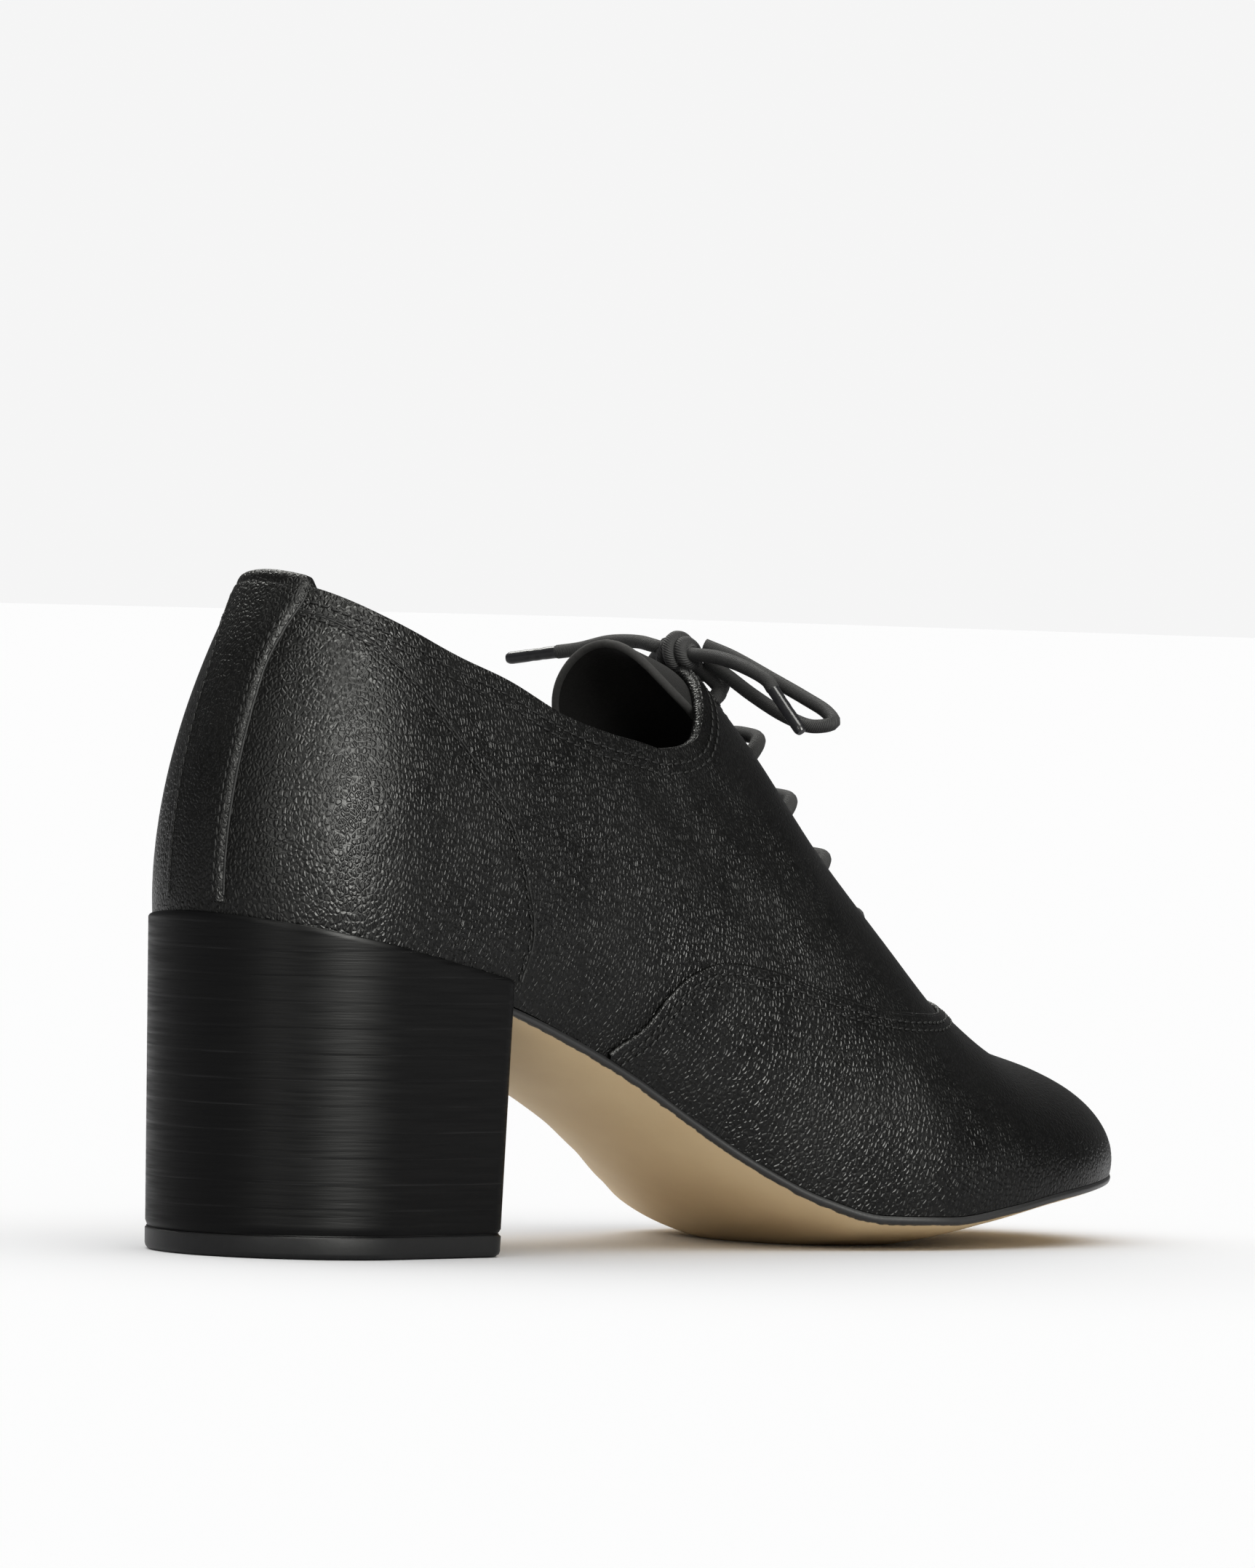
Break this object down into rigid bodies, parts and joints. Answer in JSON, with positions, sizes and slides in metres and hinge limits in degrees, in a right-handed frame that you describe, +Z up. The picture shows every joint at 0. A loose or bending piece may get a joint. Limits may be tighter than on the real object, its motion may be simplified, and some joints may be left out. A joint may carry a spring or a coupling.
{
  "type": "block-heel oxford shoe",
  "caption": "Right laced oxford shoe in black grained leather on a stacked leather block heel, with a tan leather outsole.",
  "frame": {"origin": "middle of the flat bottom of the heel, on the floor plane", "axes": "+X from the heel to the toe, +Y to the inner (medial) side, +Z up"},
  "size_m": [0.2421, 0.0832, 0.1323],
  "materials": {
    "upper_leather": "fine pebbled grain, satin",
    "strip_leather": "fine pebbled grain, satin",
    "tongue_suede": "matt, napped inner face",
    "lining": "smooth, matt",
    "sole_leather": "natural tan with a black edge",
    "heel_leather": "painted layers, satin",
    "lift_rubber": "satin",
    "lace_cotton": "round braided cotton, matt",
    "aglet_plastic": "glossy, lightly rubbed"
  },
  "bodies": {
    "root": {"upper": "upper_leather", "back_strip": "strip_leather", "tongue": "tongue_suede", "insole": "lining", "outsole": "sole_leather", "heel_stack": "heel_leather", "heel_lift": "lift_rubber", "lace_bars": "lace_cotton", "lace_knot": "lace_cotton", "lace_loop_lateral": "lace_cotton", "lace_loop_medial": "lace_cotton", "lace_end_lateral": "lace_cotton", "lace_end_medial": "lace_cotton", "aglet_lateral": "aglet_plastic", "aglet_medial": "aglet_plastic"}
  },
  "joints": []
}
